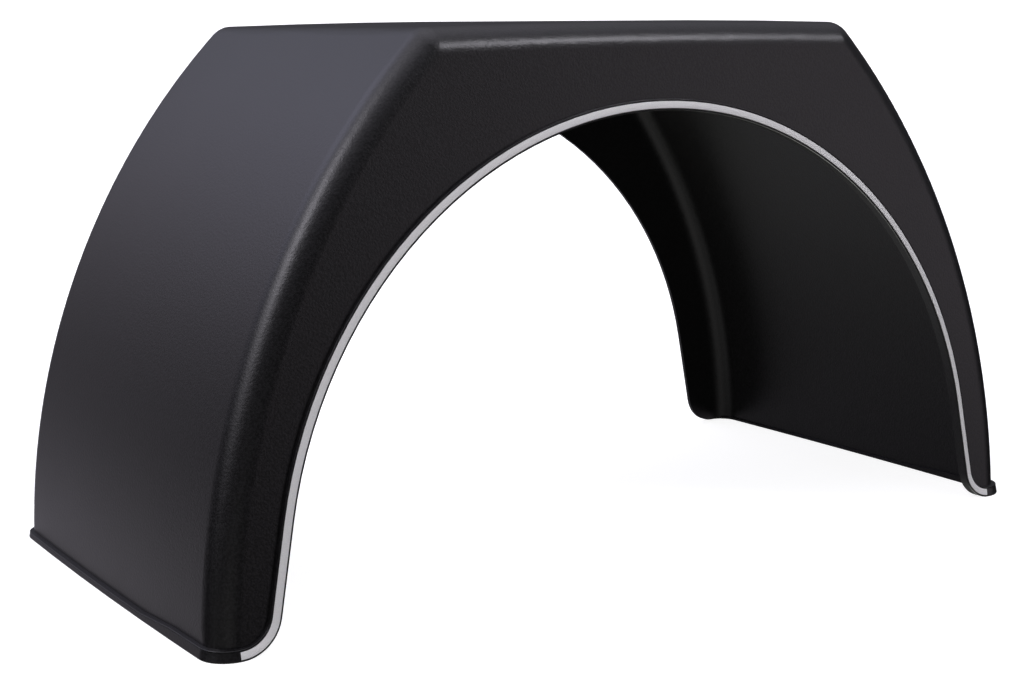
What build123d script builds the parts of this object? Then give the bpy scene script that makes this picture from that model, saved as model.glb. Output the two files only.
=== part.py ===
from build123d import *

import os
from math import asin, atan, cos, degrees, hypot, radians, sin, sqrt, tan

# Mudguard for one trailer wheel, moulded in one piece.
# A wrap goes over the wheel from one foot to the other, and two side panels
# with an arch each close it off. It is open underneath. A thick rim runs round
# the outer arch and on along the feet, and a grey trim strip is let into it.
# X runs along the trailer, Y from the outer panel to the inner one, and Z is up.
# The part stands on its feet at Z = 0, centred in X and Y. Sizes are in mm.

# Wrap
length = 640.0  # from foot to foot, over the wrap
depth = 320.0  # from the outer panel to the inner one, at the feet
corner_height = 350.5  # of the corners between top and sides, before rounding
corner_half = 164.5  # from the middle to such a corner
side_sagitta = 38.0  # how far each side swells between its foot and its corner
side_bow = 2.5  # how far a side swells from its edges to the middle of its depth
top_crown = 2.3  # how far the top rises between its corners
wall = 3.0  # thickness of wrap and panels
edge_radius = 17.5  # all rounded edges of the wrap, measured outside

# Panels and their arches
outer_lean = 2.1  # degrees by which the outer panel leans in towards its top
outer_leg = 37.1  # width of the outer panel's foot, before rounding
outer_band = 53.5  # from the top of the outer arch up to the corner height
inner_leg = 39.4  # width of the inner panel's foot, before rounding
inner_band = 51.3  # from the top of the inner arch up to the corner height
outer_leg_height = 74.763  # where the outer panel's straight legs run into its arch's circle
inner_leg_height = 79.635  # the same on the inner panel
outer_flat = 0.5  # flat left under an outer foot, between its two roundings
inner_flat = 1.0  # the same under an inner foot

# Rim round the outer arch and the feet
rim_width = 7.4  # from the free edge to the wall, round the arch and the near corners
rim_height = 4.6  # the same along the sides and round the far corners
rim_full = 56.0  # how far back from the outer panel a side keeps the full width
rim_fade = 43.0  # length over which it then drops to the lower height
rim_proud = 3.55  # how far its free edge stands out of the wall
rim_slant = 11.6  # degrees by which its face falls back, upwards from the floor
rim_inside = 1.4  # how far it stands in behind the wall
rim_chamfer = 0.4  # on its lower edge inside
rim_round = 0.95  # rounding of its free edge
rim_ridge = 1.35  # width of the fine ridge between its face and the wall
rim_crease = 0.35  # depth of the crease between face and ridge
rim_tighter = 2.0  # by how much its corners are rounded tighter than the wrap's edge

# Trim strip in the rim's face
strip_width = 4.65
strip_thickness = 0.6
strip_depth = 0.5  # depth of the groove that it lies in
strip_inset = 1.3  # from the free edge of the rim to the groove
strip_gap = 0.05  # free width on each side of the strip, in its groove
strip_past_left = 1.5  # how far it runs on past the left foot's rounding
strip_short_right = 2.0  # how far before the end of the right foot's rounding it stops

# Places that follow from the sizes above
outer_y = rim_proud / 2 - depth / 2
inner_y = outer_y + depth
middle_y = outer_y + depth / 2
lean = radians(outer_lean)
rim_corner = edge_radius - rim_tighter
outer_foot_x = length / 2 - rim_corner - outer_flat
inner_foot_x = length / 2 - edge_radius - inner_flat


def circle_through(half_width, rise):
    """Radius and centre height of the arc over a gap, with its top at rise."""
    radius = (half_width**2 + rise**2) / (2 * rise)
    return radius, rise - radius


def arch_shape(half_width, rise, leg_height):
    """Radius and centre height of an arch, and the slant of its straight legs in degrees."""
    drop = rise - leg_height
    quarter_turn = (sqrt(rise**2 - drop**2 + half_width**2) - rise) / (drop + half_width)
    slant = 2 * atan(quarter_turn)
    radius = drop / (1 - sin(slant))
    return radius, rise - radius, degrees(slant)


outer_rise = corner_height - outer_band
inner_rise = corner_height - inner_band
outer_arch = (*arch_shape(length / 2 - outer_leg, outer_rise, outer_leg_height), outer_foot_x)
inner_arch = (*arch_shape(length / 2 - inner_leg, inner_rise, inner_leg_height), inner_foot_x)


def side_bow_circle():
    """Radius and centre, along X, of a side's swell, seen from above on the right."""
    bow_radius = depth**2 / (8 * side_bow) + side_bow / 2
    return bow_radius, length / 2 + side_bow - bow_radius


def side_circle():
    """Centre and radius of the side's curve, seen along Y, on the right."""
    run = length / 2 - corner_half
    chord = hypot(run, corner_height)
    radius = (chord**2 / 4 + side_sagitta**2) / (2 * side_sagitta)
    back = (radius - side_sagitta) / chord
    centre_x = (length / 2 + corner_half) / 2 - back * corner_height
    centre_z = corner_height / 2 - back * run
    return centre_x, centre_z, radius


def barrel(inset, sign):
    """Round body whose rim is one side of the wrap, swelling over the depth."""
    centre_x, centre_z, radius = side_circle()
    bow_radius = side_bow_circle()[0]
    hub = radius + side_bow - bow_radius
    bulge = bow_radius - inset
    half = depth / 2 + 2 * edge_radius
    edge = hub + sqrt(bulge**2 - half**2)
    outline = Polyline((edge, -half), (0, -half), (0, half), (edge, half))
    outline += ThreePointArc((edge, -half), (hub + bulge, 0), (edge, half))
    plane = Plane(
        origin=(sign * centre_x, middle_y, centre_z), x_dir=(sign, 0, 0), z_dir=(0, 0, sign)
    )
    axis = Axis((sign * centre_x, middle_y, centre_z), (0, 1, 0))
    return revolve(plane * make_face(outline), axis, 360)


def outer_plane(inset=0.0):
    """Plane of the outer panel: X along it, Y up its lean, Z outwards."""
    plane = Plane(origin=(0, outer_y, 0), x_dir=(1, 0, 0), z_dir=(0, -cos(lean), sin(lean)))
    return plane.offset(-inset)


def wrap_body(inset, floor):
    """Closed body of the mudguard, inset from its outside and cut off at floor."""
    top_radius, top_centre = circle_through(corner_half, top_crown)
    radius = top_radius - inset
    half = length / 2 + 2 * side_bow
    crest = corner_height + top_centre + radius
    shoulder = corner_height + top_centre + sqrt(radius**2 - half**2)
    section = Polyline((-half, shoulder), (-half, floor), (half, floor), (half, shoulder))
    section += ThreePointArc((-half, shoulder), (0, crest), (half, shoulder))
    far = inner_y - inset
    slab = Plane.XZ.offset(-far) * make_face(section)
    body = extrude(slab, depth + edge_radius)
    body = body & barrel(inset, 1) & barrel(inset, -1)
    body = split(body, outer_plane(inset), keep=Keep.BOTTOM)
    corners = [e for e in body.edges() if is_corner(e)]
    ends = [e for e in body.edges() if is_end(e, far, inset, floor)]
    return fillet(corners + ends, edge_radius - inset)


def is_corner(edge):
    """Is this an edge between the top and a side?"""
    box = edge.bounding_box()
    return box.size.Y > depth / 2 and box.min.Z > corner_height / 2


def is_end(edge, far, inset, floor):
    """Is this an edge between the wrap and a panel?"""
    box = edge.bounding_box()
    if box.max.Z < floor + 1:
        return False
    on_inner = box.min.Y > far - 0.1
    on_outer = box.size.Y < depth / 2 and box.max.Y < outer_y + inset + tan(lean) * 2 * corner_height
    return on_inner or on_outer


def foot_rounding(radius, centre_height, slant, foot_x):
    """Radius of the arc that rounds a foot between its leg and the point foot_x."""
    turn = radians(slant)
    toe_x = (radius + centre_height * sin(turn)) / cos(turn)
    return (foot_x - toe_x) * tan(radians(45) + turn / 2)


def arch_line(radius, centre_height, slant, foot_x, grow=0.0):
    """Edges of an arch with its legs and rounded feet, from left to right."""
    foot = foot_rounding(radius, centre_height, slant, foot_x)
    turn = 90 - slant
    left = CenterArc((-foot_x, foot), foot - grow, -90, turn)
    over = CenterArc((0, centre_height), radius + grow, 180 - slant, -2 * turn)
    right = CenterArc((foot_x, foot), foot - grow, 180 + slant, turn)
    return left, Line(left @ 1, over @ 0), over, Line(over @ 1, right @ 0), right


def arch_opening(arch, grow=0.0):
    """Face that cuts an arch out of a panel, with room below the feet."""
    line = arch_line(*arch, grow)
    start, end = line[0] @ 0, line[-1] @ 1
    below = Polyline(start, (start.X, -wall), (end.X, -wall), end)
    return make_face(Wire(list(line) + list(below.edges())))


def rim_section(width):
    """Section of the rim: X outwards from the wall, Y from the free edge."""
    inside = -wall - rim_inside
    face = width - rim_ridge
    face_x = rim_proud - face * tan(radians(rim_slant))
    ridge_round = rim_ridge / 4
    nose = (rim_proud, 0)
    ridge_low = (face_x, face + ridge_round)
    ridge_high = (face_x, width - ridge_round)
    outline = Polyline(
        (inside + rim_chamfer, 0),
        nose,
        (face_x, face),
        (face_x - rim_crease, face + ridge_round / 2),
        ridge_low,
        ridge_high,
        (-wall / 2, width),
        (-wall / 2, face),
        (inside, face - rim_inside),
        (inside, rim_chamfer),
        close=True,
    )
    section = make_face(outline)
    for corner, radius in ((nose, rim_round), (ridge_low, ridge_round), (ridge_high, ridge_round)):
        section = fillet(section.vertices().sort_by_distance(corner)[0], radius)
    return section


def side_angle(back):
    """Angle on the side's swell of the place that lies back from the outer panel."""
    return degrees(asin((outer_y + back - middle_y) / side_bow_circle()[0]))


def side_place(back):
    """Plane across the right side's floor line: X outwards and Y up."""
    bow_radius, bow_x = side_bow_circle()
    angle = radians(side_angle(back))
    return Plane(
        origin=(bow_x + bow_radius * cos(angle), outer_y + back, 0),
        x_dir=(cos(angle), sin(angle), 0),
        z_dir=(sin(angle), -cos(angle), 0),
    )


def near_floor_line():
    """Floor line on the right, from the outer arch round the near corner."""
    bow_radius, bow_x = side_bow_circle()
    corner_y = outer_y + rim_corner
    turn = degrees(asin((middle_y - corner_y) / (bow_radius - rim_corner)))
    corner_x = bow_x + (bow_radius - rim_corner) * cos(radians(turn))
    flat = Line((outer_foot_x, outer_y), (corner_x, outer_y))
    corner = CenterArc((corner_x, corner_y), rim_corner, -90, 90 - turn)
    side = CenterArc((bow_x, middle_y), bow_radius, -turn, turn + side_angle(rim_full))
    return [e.edge() for e in (flat, corner, side)]


def far_floor_line():
    """Floor line on the right, along the side and round part of the far corner."""
    bow_radius, bow_x = side_bow_circle()
    corner_y = inner_y - edge_radius
    turn = degrees(asin((corner_y - middle_y) / (bow_radius - edge_radius)))
    corner_x = bow_x + (bow_radius - edge_radius) * cos(radians(turn))
    start = side_angle(rim_full + rim_fade)
    end = degrees(asin(edge_radius / (edge_radius + rim_proud)))
    side = CenterArc((bow_x, middle_y), bow_radius, start, turn - start)
    corner = CenterArc((corner_x, corner_y), edge_radius, turn, end - turn)
    return [e.edge() for e in (side, corner)]


def build_near_rim():
    """Rim of full width, round the outer arch and both near corners."""
    right = near_floor_line()
    left = [mirror(e, Plane.YZ).edge() for e in right]
    arch = [(outer_plane() * e).edge() for e in arch_line(*outer_arch)]
    path = Wire(left + arch + right)
    return sweep(side_place(rim_full) * rim_section(rim_width), path)


def build_far_rim():
    """Lower rim on the right, which stops before it would pass the inner panel."""
    low = side_place(rim_full + rim_fade) * rim_section(rim_height)
    start = loft([side_place(rim_full) * rim_section(rim_width), low], ruled=True)
    return start + sweep(low, Wire(far_floor_line()))


def bar_on_face(low, high, start, end):
    """Rectangle on the rim's face: X out of the face, Y from the free edge."""
    bar = Pos((low + high) / 2, (start + end) / 2) * Rectangle(high - low, end - start)
    return Pos(rim_proud, 0) * Rot(0, 0, rim_slant) * bar


def sweep_on_face(bar, spare):
    """Sweeps such a bar along the rim, from strip end to strip end plus spare."""
    arch = arch_line(*outer_arch)
    first, last = arch[0] @ 0, arch[-1] @ 1
    tail = Line((first.X - rim_corner, first.Y), first)
    head = Line(last, (last.X + rim_corner, last.Y))
    path = Wire([(outer_plane() * e).edge() for e in (tail, *arch, head)])
    start = Plane(origin=(last.X + rim_corner, outer_y, 0), x_dir=(0, -1, 0), z_dir=(-1, 0, 0))
    band = sweep(start * bar, path)
    left_end = Plane.YZ.offset(first.X - strip_past_left - spare)
    right_end = Plane.YZ.offset(last.X - strip_short_right + spare)
    return split(split(band, left_end, keep=Keep.TOP), right_end, keep=Keep.BOTTOM)


def build_groove():
    """Cutter for the groove in the rim's face."""
    width = strip_width + 2 * strip_gap
    bar = bar_on_face(-strip_depth, strip_depth, strip_inset, strip_inset + width)
    return sweep_on_face(bar, strip_gap)


def build_trim_strip():
    """Strip that lies on the floor of the groove and stands a little proud."""
    start = strip_inset + strip_gap
    bar = bar_on_face(-strip_depth, strip_thickness - strip_depth, start, start + strip_width)
    return sweep_on_face(bar, 0)


def build_shell():
    """The moulded mudguard: hollow wrap, two arches, rim and groove, one solid."""
    shell = wrap_body(0, 0) - wrap_body(wall, -wall)
    outer_cut = outer_plane(2 * wall) * arch_opening(outer_arch, rim_ridge)
    shell -= extrude(outer_cut, 4 * wall)
    inner_cut = Plane.XZ.offset(-inner_y - wall) * arch_opening(inner_arch)
    shell -= extrude(inner_cut, 3 * wall)
    far = build_far_rim()
    shell += [build_near_rim(), far, mirror(far, Plane.YZ)]
    return shell - build_groove()


builders = {"mudguard_shell": build_shell, "arch_trim_strip": build_trim_strip}

if __name__ == "__main__":
    os.makedirs("parts", exist_ok=True)
    for name, builder in builders.items():
        part = builder()
        export_step(part, f"parts/{name}.step")
        print(name, len(part.solids()), round(part.volume), part.bounding_box().size)
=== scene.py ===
# %% [markdown]
# A moulded mudguard for one trailer wheel. The real thing is one thin black
# moulding with a fine grain, and a silver-grey strip let into the rim of its
# outer arch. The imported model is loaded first, as a frame that fixes every
# size and place, and everything after it only adds looks.

from math import asin, atan, cos, pi, radians, sin, sqrt, tan

import bpy
from mathutils import Matrix, Vector


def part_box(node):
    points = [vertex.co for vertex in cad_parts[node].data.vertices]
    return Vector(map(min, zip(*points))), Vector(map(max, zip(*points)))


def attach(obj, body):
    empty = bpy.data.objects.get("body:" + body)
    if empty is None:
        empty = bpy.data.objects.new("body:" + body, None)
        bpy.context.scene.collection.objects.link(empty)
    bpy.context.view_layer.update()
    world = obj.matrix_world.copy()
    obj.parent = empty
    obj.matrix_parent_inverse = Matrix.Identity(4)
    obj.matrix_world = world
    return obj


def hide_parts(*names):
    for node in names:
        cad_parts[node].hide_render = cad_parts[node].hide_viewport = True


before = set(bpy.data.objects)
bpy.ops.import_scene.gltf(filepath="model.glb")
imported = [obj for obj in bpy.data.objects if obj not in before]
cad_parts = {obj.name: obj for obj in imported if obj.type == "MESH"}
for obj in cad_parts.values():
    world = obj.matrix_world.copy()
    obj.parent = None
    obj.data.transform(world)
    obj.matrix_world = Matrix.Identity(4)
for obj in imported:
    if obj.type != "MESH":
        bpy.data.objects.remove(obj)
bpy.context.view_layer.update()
scene = bpy.context.scene
print("nodes in the frame:", sorted(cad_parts))

# %% [markdown]
# The camera stands to the left in front of the mudguard, a little above its
# top, and looks down on it by about ten degrees. Its place and its turn were
# found by matching the outlines of the photograph. A camera is turned here by
# writing its three axes into a matrix, because yaw, pitch and roll are then
# read straight off three named angles.

# %% The camera
camera_place = Vector((-0.69799, -1.037035, 0.35475))
yaw = 0.582  # turn to the right, away from looking along Y
pitch = 0.1809  # tilt downwards
roll = -0.0088
focal_pixels = 1772.6  # focal length in pixels of a picture this wide:
picture_width = 1024
sensor_width = 36  # mm

forward = Vector((sin(yaw) * cos(pitch), cos(yaw) * cos(pitch), -sin(pitch)))
level = Vector((cos(yaw), -sin(yaw), 0))
upright = level.cross(forward)
right = cos(roll) * level + sin(roll) * upright
up = cos(roll) * upright - sin(roll) * level

camera_data = bpy.data.cameras.new("camera")
camera_data.sensor_width = sensor_width
camera_data.lens = focal_pixels / picture_width * sensor_width
camera = bpy.data.objects.new("camera", camera_data)
scene.collection.objects.link(camera)
turn = Matrix((right, up, -forward)).transposed().to_4x4()
camera.matrix_world = Matrix.Translation(camera_place) @ turn
scene.camera = camera
scene.view_settings.view_transform = "Standard"
print("camera lens:", round(camera_data.lens, 2), "mm")

# %% [markdown]
# Materials and lights are written as sums of sockets. Wiring nodes by hand
# takes a line for each wire, so one small class wraps a socket and overloads
# the operators: an expression on it adds the Math nodes by itself. Every other
# node comes from a single method that takes its type, its settings and the
# values of its sockets.


# %% Writing nodes
class Term:
    """One socket of a node tree, used in sums as a number is."""

    def __init__(self, graph, socket):
        self.graph = graph
        self.socket = socket

    def math(self, operation, *values):
        inputs = dict(enumerate(values))
        return self.graph.term("ShaderNodeMath", {"operation": operation}, inputs)

    def __add__(self, other):
        return self.math("ADD", self, other)

    def __radd__(self, other):
        return self.math("ADD", other, self)

    def __sub__(self, other):
        return self.math("SUBTRACT", self, other)

    def __rsub__(self, other):
        return self.math("SUBTRACT", other, self)

    def __mul__(self, other):
        return self.math("MULTIPLY", self, other)

    def __rmul__(self, other):
        return self.math("MULTIPLY", other, self)

    def __neg__(self):
        return self.math("MULTIPLY", self, -1.0)

    def exp(self):
        return self.math("EXPONENT", self)

    def step(self, low, high):
        """Runs smoothly from 0 at low to 1 at high."""
        settings = {"interpolation_type": "SMOOTHSTEP"}
        inputs = {"Value": self, "From Min": low, "From Max": high}
        return self.graph.term("ShaderNodeMapRange", settings, inputs)


class Graph:
    """One node tree, emptied and then written from the start."""

    def __init__(self, tree):
        self.tree = tree
        tree.nodes.clear()

    def node(self, kind, settings=None, inputs=None):
        """Adds a node: its settings first, then the values or links of its sockets."""
        node = self.tree.nodes.new(kind)
        for name, value in (settings or {}).items():
            setattr(node, name, value)
        for name, value in (inputs or {}).items():
            if isinstance(value, Term):
                self.tree.links.new(value.socket, node.inputs[name])
            else:
                node.inputs[name].default_value = value
        return node

    def term(self, kind, settings=None, inputs=None, output=0):
        """Adds a node and gives one of its outputs for use in a sum."""
        return Term(self, self.node(kind, settings, inputs).outputs[output])

    def mix_colour(self, factor, first, second):
        """Colour that runs from first to second as the factor runs from 0 to 1."""
        mix = self.node("ShaderNodeMix", {"data_type": "RGBA"})
        for name, value in (("Factor", factor), ("A", first), ("B", second)):
            wanted = "RGBA" if name != "Factor" else "VALUE"
            socket = [s for s in mix.inputs if s.name == name and s.type == wanted][0]
            if isinstance(value, Term):
                self.tree.links.new(value.socket, socket)
            else:
                socket.default_value = value
        result = [s for s in mix.outputs if s.type == "RGBA"][0]
        return Term(self, result)


print("node writer ready")

# %% [markdown]
# The room is a pale floor that curves up far away, as a studio backdrop does,
# so no edge shows behind the mudguard. It is a round dish: a profile of points
# turned about the vertical axis. It mostly gives light of its own, which keeps
# it as evenly white as the photograph, and a diffuse part catches a faint
# shadow under the feet. The plastic doesn't mirror it: the light round the
# object comes from the next step alone.

# %% The floor
floor_flat = 5.0  # radius of the flat part
floor_far = 9.0  # radius where the backdrop stands upright
floor_top = 4.0  # height of the backdrop
flat_rings = 4
dish_rings = 24
dish_turns = 96  # steps round the dish
floor_white = (0.5, 0.5, 0.5, 1)  # what the paint reflects
floor_glow = 0.88  # what it gives off by itself


def dish_profile():
    """Radius and height along the floor, from the middle out and up."""
    points = [(floor_flat * i / flat_rings, 0.0) for i in range(1, flat_rings + 1)]
    for i in range(1, dish_rings + 1):
        angle = pi / 2 * i / dish_rings
        across = floor_far - floor_flat
        points.append((floor_flat + across * sin(angle), floor_top * (1 - cos(angle))))
    return points


def build_floor():
    """Round dish with its faces towards the middle."""
    points = [(0.0, 0.0, 0.0)]
    faces = []
    profile = dish_profile()
    for radius, height in profile:
        for turn in range(dish_turns):
            angle = 2 * pi * turn / dish_turns
            points.append((radius * cos(angle), radius * sin(angle), height))
    for turn in range(dish_turns):
        after = (turn + 1) % dish_turns
        faces.append((0, 1 + turn, 1 + after))
        for ring in range(len(profile) - 1):
            low, high = 1 + ring * dish_turns, 1 + (ring + 1) * dish_turns
            faces.append((low + turn, high + turn, high + after, low + after))
    mesh = bpy.data.meshes.new("floor")
    mesh.from_pydata(points, [], faces)
    mesh.shade_smooth()
    floor = bpy.data.objects.new("floor", mesh)
    scene.collection.objects.link(floor)
    return floor


def floor_paint():
    """Pale paint that is lit a little from within."""
    material = bpy.data.materials.new("pale floor")
    material.use_nodes = True
    graph = Graph(material.node_tree)
    shader = graph.term(
        "ShaderNodeBsdfPrincipled",
        inputs={
            "Base Color": floor_white,
            "Roughness": 0.9,
            "Specular IOR Level": 0.0,
            "Emission Color": (1, 1, 1, 1),
            "Emission Strength": floor_glow,
        },
    )
    graph.node("ShaderNodeOutputMaterial", inputs={"Surface": shader})
    return material


floor = build_floor()
floor.data.materials.append(floor_paint())
floor.visible_glossy = False
floor.visible_diffuse = False
floor.visible_shadow = False
print("floor:", len(floor.data.polygons), "faces")

# %% [markdown]
# Black plastic shows little colour of its own: what the eye reads as its shape
# are soft reflections. The room of the photograph is rebuilt as a sum of round
# lobes of light: two bright windows, which draw the light lines along the near
# edges, pale walls on the left and behind, and little light on the camera's
# side, so the near panel stays dark. Area lamps could do the same, but lobes
# have no edges and no noise. Each has a name, the direction that its light comes
# from, a strength, a sharpness and a tint.

# %% The light
lobes = [
    ("window over the right shoulder", (0.56, -0.62, 0.55), 38.0, 320, (0.98, 0.96, 1.04)),
    ("window on the left", (-0.74, -0.06, 0.67), 8.0, 100, (0.99, 0.96, 1.05)),
    ("left wall", (-0.83, 0.03, 0.56), 3.2, 26, (0.99, 0.96, 1.05)),
    ("wall behind on the left", (-0.44, 0.63, 0.64), 1.65, 26, (0.90, 0.90, 1.20)),
    ("wall behind", (-0.37, 0.88, 0.31), 0.36, 30, (1.03, 0.93, 1.04)),
    ("wall behind on the right", (-0.04, 0.86, 0.51), 0.31, 26, (0.88, 0.93, 1.19)),
    ("low wall behind on the left", (-0.41, 0.87, -0.27), 0.52, 50, (1.01, 0.95, 1.05)),
    ("floor behind on the left", (-0.30, 0.69, -0.66), 0.3, 40, (1.0, 1.0, 1.0)),
    ("floor far behind", (0.03, 0.94, -0.34), 0.75, 34, (0.96, 0.92, 1.12)),
    ("floor on the left", (-0.86, -0.1, -0.5), 0.36, 26, (1.0, 1.0, 1.0)),
    ("floor below", (0.07, 0.14, -0.99), 7.3, 26, (1.01, 1.02, 0.97)),
    ("floor in front", (-0.31, -0.62, -0.72), 0.12, 8, (1.0, 1.02, 0.98)),
    ("low lamp by the camera", (-0.45, -0.72, -0.53), 0.4, 12, (1.02, 0.99, 0.99)),
    ("ceiling", (0.0, 0.0, 1.0), 1.55, 4, (0.97, 0.95, 1.08)),
    ("wall in front on the right", (0.70, -0.71, -0.01), 0.95, 32, (1.05, 0.95, 1.05)),
]


def build_world():
    """World whose light is the sum of the lobes."""
    world = bpy.data.worlds.new("studio")
    scene.world = world
    world.use_nodes = True
    graph = Graph(world.node_tree)
    ray = graph.term("ShaderNodeTexCoord", output="Generated")
    shaders = []
    for name, towards, strength, sharpness, tint in lobes:
        axis = tuple(Vector(towards).normalized())
        along = graph.term(
            "ShaderNodeVectorMath",
            {"operation": "DOT_PRODUCT"},
            {0: ray, 1: axis},
            "Value",
        )
        glow = (sharpness * (along - 1)).exp() * strength
        light = {"Color": (*tint, 1), "Strength": glow}
        shaders.append(graph.term("ShaderNodeBackground", inputs=light))
    total = shaders[0]
    for shader in shaders[1:]:
        total = graph.term("ShaderNodeAddShader", inputs={0: total, 1: shader})
    graph.node("ShaderNodeOutputWorld", inputs={"Surface": total})


build_world()
print("lobes of light:", [lobe[0] for lobe in lobes])

# %% [markdown]
# The moulding is matte black plastic. Its tool was etched, so the surface has a
# fine grain that breaks up reflections. Noise in object coordinates keeps the
# grain at its real size wherever the surface turns. It feeds the bump, and a
# little of the colour and the roughness. A second noise, some sixty times
# larger and weak, changes the roughness slowly, as a moulding that cooled
# unevenly shows.

# %% Black plastic
grain_pitch = 0.0014  # size of one bump of the grain, in metres
grain_height = 0.0002
grain_strength = 0.6
cloud_pitch = 0.09  # size of the patches where the gloss changes
plastic_roughness = 0.34
cloud_change = 0.06  # of the roughness, from patch to patch
grain_change = 0.08  # of the roughness, from bump to bump
plastic_dark = (0.0022, 0.0021, 0.0022, 1)
plastic_light = (0.0084, 0.0081, 0.0085, 1)


def noise(graph, place, pitch, detail):
    """Noise whose patches are about pitch metres wide."""
    inputs = {"Vector": place, "Scale": 1 / pitch, "Detail": detail}
    return graph.term("ShaderNodeTexNoise", inputs=inputs)


def black_plastic():
    """Matte black moulded plastic with a fine grain."""
    material = bpy.data.materials.new("black plastic")
    material.use_nodes = True
    graph = Graph(material.node_tree)
    place = graph.term("ShaderNodeTexCoord", output="Object")
    grain = noise(graph, place, grain_pitch, 2.0)
    cloud = noise(graph, place, cloud_pitch, 3.0)
    relief = {"Strength": grain_strength, "Distance": grain_height, "Height": grain}
    bump = graph.term("ShaderNodeBump", inputs=relief)
    roughness = plastic_roughness + cloud_change * (cloud - 0.5) + grain_change * (grain - 0.5)
    colour = graph.mix_colour(grain.step(0.35, 0.65), plastic_dark, plastic_light)
    shader = graph.term(
        "ShaderNodeBsdfPrincipled",
        inputs={"Base Color": colour, "Roughness": roughness, "Normal": bump},
    )
    graph.node("ShaderNodeOutputMaterial", inputs={"Surface": shader})
    return material


print("black plastic ready")

# %% [markdown]
# The shell is the moulding itself: wrap, two arched panels and the thick rim.
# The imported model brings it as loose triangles. A copy is merged into one
# closed mesh, and the shape stays as it is, to a micrometre. Light shows the
# smallest error in a smooth black surface, so the copy takes the model's own
# normals, which are exact on every rounding. Two things are mended in them. On
# a few triangles they lean far off their face and would show as pale patches.
# And where a rounding runs into a flat panel they jump by some degrees, which
# would draw a line: there all corners of the point take one normal, in which
# the larger faces count for more, so the flat panel stays flat.

# %% The moulding
merge_digits = 6  # places closer than a micrometre are one point
lean_limit = cos(radians(24))  # a sound normal leans off its face by less
meet_limit = cos(radians(12))  # normals that are closer than this belong together


def merged_faces(mesh):
    """Points of a mesh, each once, and its faces with the normals of their corners."""
    found = {}
    numbers = []
    for vertex in mesh.vertices:
        place = tuple(round(c, merge_digits) for c in vertex.co)
        numbers.append(found.setdefault(place, len(found)))
    normals = [Vector(corner.vector) for corner in mesh.corner_normals]
    faces = []
    for face in mesh.polygons:
        flat = face.normal.copy()
        corners = []
        for i in face.loop_indices:
            sound = normals[i] if normals[i].dot(flat) > lean_limit else flat
            corners.append((numbers[mesh.loops[i].vertex_index], sound))
        if len({number for number, normal in corners}) == 3:
            faces.append((face.area, corners))
    return list(found), faces


def joined_normals(faces):
    """Normal of each corner, joined with the ones like it round the same point."""
    around = {}
    for area, corners in faces:
        for number, normal in corners:
            around.setdefault(number, []).append((normal, area**2))
    normals = []
    for area, corners in faces:
        for number, normal in corners:
            total = Vector()
            for near, weight in around[number]:
                if near.dot(normal) > meet_limit:
                    total += near * weight
            normals.append(total.normalized())
    return normals


def merged_copy(node, name):
    """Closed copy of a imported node, with its own mesh and mended normals."""
    points, faces = merged_faces(node.data)
    mesh = bpy.data.meshes.new(name)
    triangles = [[number for number, normal in corners] for area, corners in faces]
    mesh.from_pydata(points, [], triangles)
    mesh.shade_smooth()
    mesh.normals_split_custom_set(joined_normals(faces))
    piece = bpy.data.objects.new(name, mesh)
    scene.collection.objects.link(piece)
    open_edges = 2 * len(mesh.edges) - 3 * len(mesh.polygons)
    print(name, "has", len(mesh.polygons), "faces and", open_edges, "open edges")
    return piece


shell = merged_copy(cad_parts["mudguard_shell"], "moulding")
shell.data.materials.append(black_plastic())
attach(shell, "root")
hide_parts("mudguard_shell")

# %% [markdown]
# The trim strip is a thin plastic film with a satin silver finish. It is even
# in colour, apart from a very fine metallic speckle.

# %% Silver-grey film
speckle_pitch = 0.0005
speckle_height = 0.0001
speckle_strength = 0.1
film_roughness = 0.45
film_dark = (0.84, 0.845, 0.81, 1)
film_light = (0.94, 0.945, 0.905, 1)


def silver_film():
    """Satin silver-grey film with a faint speckle."""
    material = bpy.data.materials.new("silver film")
    material.use_nodes = True
    graph = Graph(material.node_tree)
    place = graph.term("ShaderNodeTexCoord", output="Object")
    speckle = noise(graph, place, speckle_pitch, 1.0)
    colour = graph.mix_colour(speckle.step(0.25, 0.75), film_dark, film_light)
    relief = {"Strength": speckle_strength, "Distance": speckle_height, "Height": speckle}
    bump = graph.term("ShaderNodeBump", inputs=relief)
    shader = graph.term(
        "ShaderNodeBsdfPrincipled",
        inputs={"Base Color": colour, "Roughness": film_roughness, "Normal": bump},
    )
    graph.node("ShaderNodeOutputMaterial", inputs={"Surface": shader})
    return material


print("silver film ready")

# %% [markdown]
# The strip follows the arch, so it is a flat bar swept along a path. The path
# is drawn flat first, as it would lie on the bench: a foot, a leg, the round of
# the arch, and the same back down. It restates the few sizes that fix the arch
# in the model. A Geometry Nodes tree then sweeps the bar along it and leans it
# into its groove, with the bar's sizes as named inputs. A curve with a bevel
# object would also do, but its profile would be a second object to keep, and
# its sizes would have no names.

# %% The path of the strip
mm = 0.001
half_length = 320.0 * mm
panel_y = -158.225 * mm  # outer panel at the floor
panel_lean = radians(2.1)
arch_rise = 297.0 * mm
leg_height = 74.763 * mm  # where a leg runs into the round of the arch
toe_x = half_length - 37.1 * mm  # a leg, if it ran straight to the floor
foot_x = 304.0 * mm  # end of a foot's rounding
past_left = 1.5 * mm  # how far the strip runs on past the left foot's rounding
short_right = 2.0 * mm  # how far before the end of the right one it stops

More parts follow.
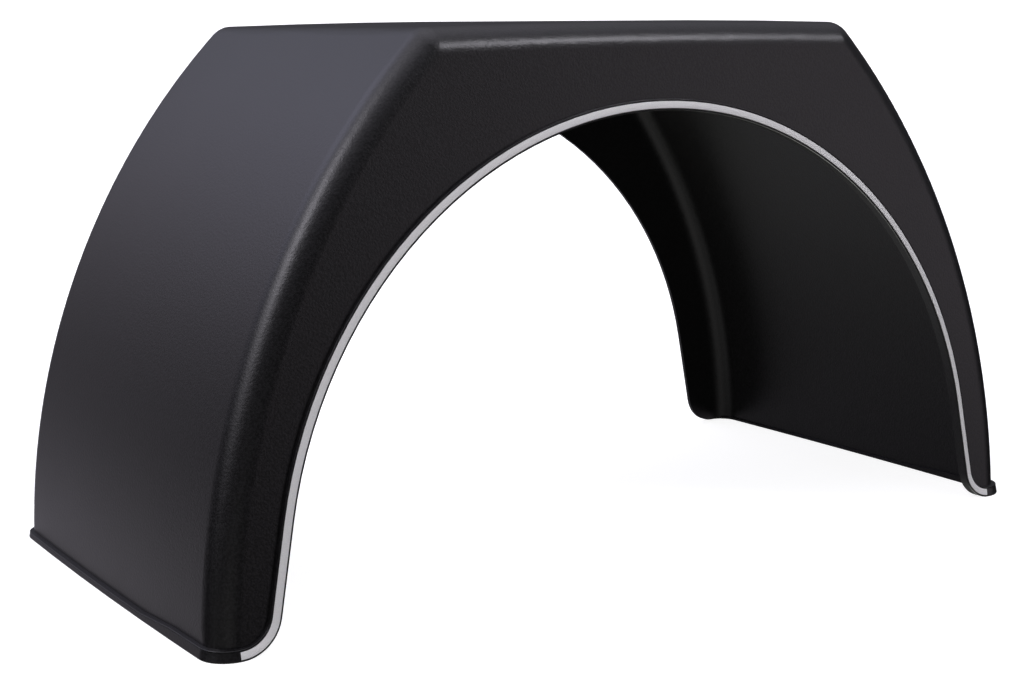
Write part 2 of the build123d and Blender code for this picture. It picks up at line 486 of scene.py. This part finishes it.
face_slant = radians(11.6)  # the rim's face falls back upwards by this angle
face_edge = 3.55 * mm  # how far its free edge stands out of the panel
strip_width = 4.65 * mm
strip_thickness = 0.6 * mm
strip_edge = 1.35 * mm  # from the face's free edge to the strip's
groove_depth = 0.5 * mm
strip_up = strip_edge + strip_width / 2  # middle of the strip, along the face
strip_out = strip_thickness / 2 - groove_depth  # and out of the face
mid_line = strip_out * sin(face_slant) + strip_up * cos(face_slant)
stand_off = face_edge + strip_out * cos(face_slant) - strip_up * sin(face_slant)

drop = arch_rise - leg_height
slant = 2 * atan((sqrt(arch_rise**2 - drop**2 + toe_x**2) - arch_rise) / (drop + toe_x))
arch_radius = drop / (1 - sin(slant))
arch_centre = arch_rise - arch_radius
foot_radius = (foot_x - toe_x) * tan(pi / 4 + slant / 2)
foot_steps = 24
round_steps = 180


def arc(centre, radius, start, turn, steps):
    """Points of an arc, from the angle start on."""
    x, y = centre
    angles = [start + turn * i / steps for i in range(steps + 1)]
    return [Vector((x + radius * cos(a), y + radius * sin(a), 0)) for a in angles]


def strip_path():
    """Middle of the strip in the panel's plane, from its left end to its right end."""
    turn = pi / 2 - slant
    radius = foot_radius - mid_line
    cut = asin(short_right / radius)
    left = arc((-foot_x, foot_radius), radius, -pi / 2, turn, foot_steps)
    over = arc((0, arch_centre), arch_radius + mid_line, pi - slant, -2 * turn, round_steps)
    right = arc((foot_x, foot_radius), radius, pi + slant, turn - cut, foot_steps)
    start = left[0] - Vector((past_left, 0, 0))
    return [start] + left + over + right


path = strip_path()
print("path of the strip:", len(path), "points")

# %% [markdown]
# The tree takes the path as its input. A rounded rectangle is turned to the
# slant of the rim's face and set off from the panel, and Curve to Mesh draws it
# along the path. The last nodes lean the whole strip with the panel and give it
# its film. The model counts the slant from the upright and this tree from the
# leaning panel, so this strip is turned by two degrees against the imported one.
# Its edges lie up to 0.3 mm off, which is half a pixel of the picture at most.

# %% Sweeping the strip
rounding_steps = 3
crease_angle = radians(40)  # edges sharper than this stay sharp
strip_sizes = {
    "Width": strip_width,
    "Thickness": strip_thickness,
    "Edge Rounding": 0.12 * mm,
    "Face Slant": face_slant,
    "Stand Off": stand_off,
    "Panel Lean": panel_lean,
    "Panel Place": panel_y,
}


def sweep_tree(material):
    """Geometry Nodes tree that sweeps a rounded bar along its input curve."""
    tree = bpy.data.node_groups.new("sweep a bar", "GeometryNodeTree")
    interface = tree.interface
    interface.new_socket("Geometry", in_out="INPUT", socket_type="NodeSocketGeometry")
    for name, size in strip_sizes.items():
        socket = interface.new_socket(name, in_out="INPUT", socket_type="NodeSocketFloat")
        socket.default_value = size
    interface.new_socket("Geometry", in_out="OUTPUT", socket_type="NodeSocketGeometry")
    graph = Graph(tree)
    entry = graph.node("NodeGroupInput")
    given = {socket.name: Term(graph, socket) for socket in entry.outputs if socket.name}
    bar = graph.term(
        "GeometryNodeCurvePrimitiveQuadrilateral",
        {"mode": "RECTANGLE"},
        {"Width": given["Width"], "Height": given["Thickness"]},
    )
    bar = graph.term(
        "GeometryNodeFilletCurve",
        {"mode": "POLY"},
        {"Curve": bar, "Count": rounding_steps, "Radius": given["Edge Rounding"]},
    )
    turn = graph.term("ShaderNodeCombineXYZ", inputs={"Z": -given["Face Slant"]})
    lift = graph.term("ShaderNodeCombineXYZ", inputs={"Y": -given["Stand Off"]})
    bar = graph.term(
        "GeometryNodeTransform",
        inputs={"Geometry": bar, "Rotation": turn, "Translation": lift},
    )
    path = graph.term("GeometryNodeSetCurveNormal", {"mode": "Z_UP"}, {"Curve": given["Geometry"]})
    swept = graph.term(
        "GeometryNodeCurveToMesh",
        inputs={"Curve": path, "Profile Curve": bar, "Fill Caps": True},
    )
    upright = graph.term("ShaderNodeCombineXYZ", inputs={"X": pi / 2 - given["Panel Lean"]})
    place = graph.term("ShaderNodeCombineXYZ", inputs={"Y": given["Panel Place"]})
    swept = graph.term(
        "GeometryNodeTransform",
        inputs={"Geometry": swept, "Rotation": upright, "Translation": place},
    )
    swept = graph.term(
        "GeometryNodeSetMaterial",
        inputs={"Geometry": swept, "Material": material},
    )
    graph.node("NodeGroupOutput", inputs={"Geometry": swept})
    return tree


def curve_object(name, points):
    """Curve object with one straight-sided spline through the points."""
    data = bpy.data.curves.new(name, "CURVE")
    data.dimensions = "3D"
    spline = data.splines.new("POLY")
    spline.points.add(len(points) - 1)
    for place, point in zip(spline.points, points):
        place.co = (*point, 1)
    thing = bpy.data.objects.new(name, data)
    scene.collection.objects.link(thing)
    return thing


def sweep(name, points, sizes, tree):
    """Runs the tree on a path with the given sizes and keeps the plain mesh."""
    curve = curve_object(name, points)
    modifier = curve.modifiers.new("sweep", "NODES")
    modifier.node_group = tree
    for socket in tree.interface.items_tree:
        if socket.name in sizes:
            modifier[socket.identifier] = sizes[socket.name]
    bpy.context.view_layer.update()
    evaluated = curve.evaluated_get(bpy.context.evaluated_depsgraph_get())
    mesh = bpy.data.meshes.new_from_object(evaluated)
    curve.modifiers.clear()
    piece = bpy.data.objects.new(name + "_piece", mesh)
    scene.collection.objects.link(piece)
    bpy.data.objects.remove(curve)
    return piece


strip = sweep("trim_strip", path, strip_sizes, sweep_tree(silver_film()))
strip.data.shade_smooth()
strip.data.set_sharp_from_angle(angle=crease_angle)
low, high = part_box("arch_trim_strip")
swept = [f(v.co[i] for v in strip.data.vertices) for f in (min, max) for i in range(3)]
print("strip in the model, mm:", [round(c / mm, 2) for c in (*low, *high)])
print("strip as swept, mm:", [round(c / mm, 2) for c in swept])
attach(strip, "root")
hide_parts("arch_trim_strip")
